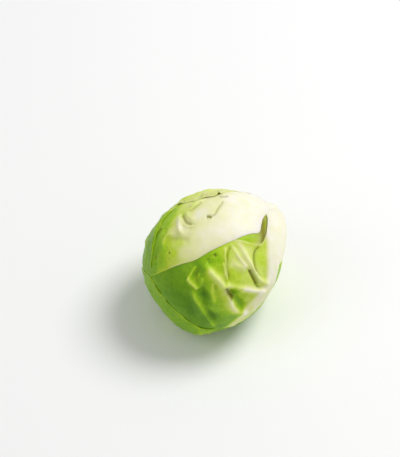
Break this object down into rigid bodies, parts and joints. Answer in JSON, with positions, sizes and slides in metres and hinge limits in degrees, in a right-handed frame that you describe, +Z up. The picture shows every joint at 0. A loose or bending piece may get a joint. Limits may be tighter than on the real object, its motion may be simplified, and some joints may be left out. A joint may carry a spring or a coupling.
{
  "type": "brussels sprout",
  "caption": "Fresh Brussels sprout lying on its side: a tight head of wrapped green and cream leaves on a short cut stem.",
  "frame": {"origin": "on the resting surface, under the middle of the sprout's bounding box", "axes": "+Z up from the flat spot it rests on; +Y the way the stem points, seen from above (the stem rises 19 degrees above level); +X completes the frame"},
  "size_m": [0.036, 0.0408, 0.0354],
  "materials": {
    "stem_flesh": "freshly cut pale stem, matt",
    "heart_leaf": "packed pale yellow-green leaf, slightly moist",
    "inner_leaf": "pale yellow-green leaf, satin",
    "pale_leaf": "cream leaf base turning green to its edge, waxy satin",
    "green_leaf": "fresh green leaf with pale ribs, waxy satin"
  },
  "bodies": {
    "root": {"stem": "stem_flesh", "heart": "heart_leaf", "inner_leaf": "inner_leaf", "right_leaf": "green_leaf", "back_leaf": "green_leaf", "left_leaf": "green_leaf", "front_leaf": "green_leaf", "cap_leaf": "pale_leaf", "top_leaf": "green_leaf", "under_leaf": "green_leaf"}
  },
  "joints": []
}
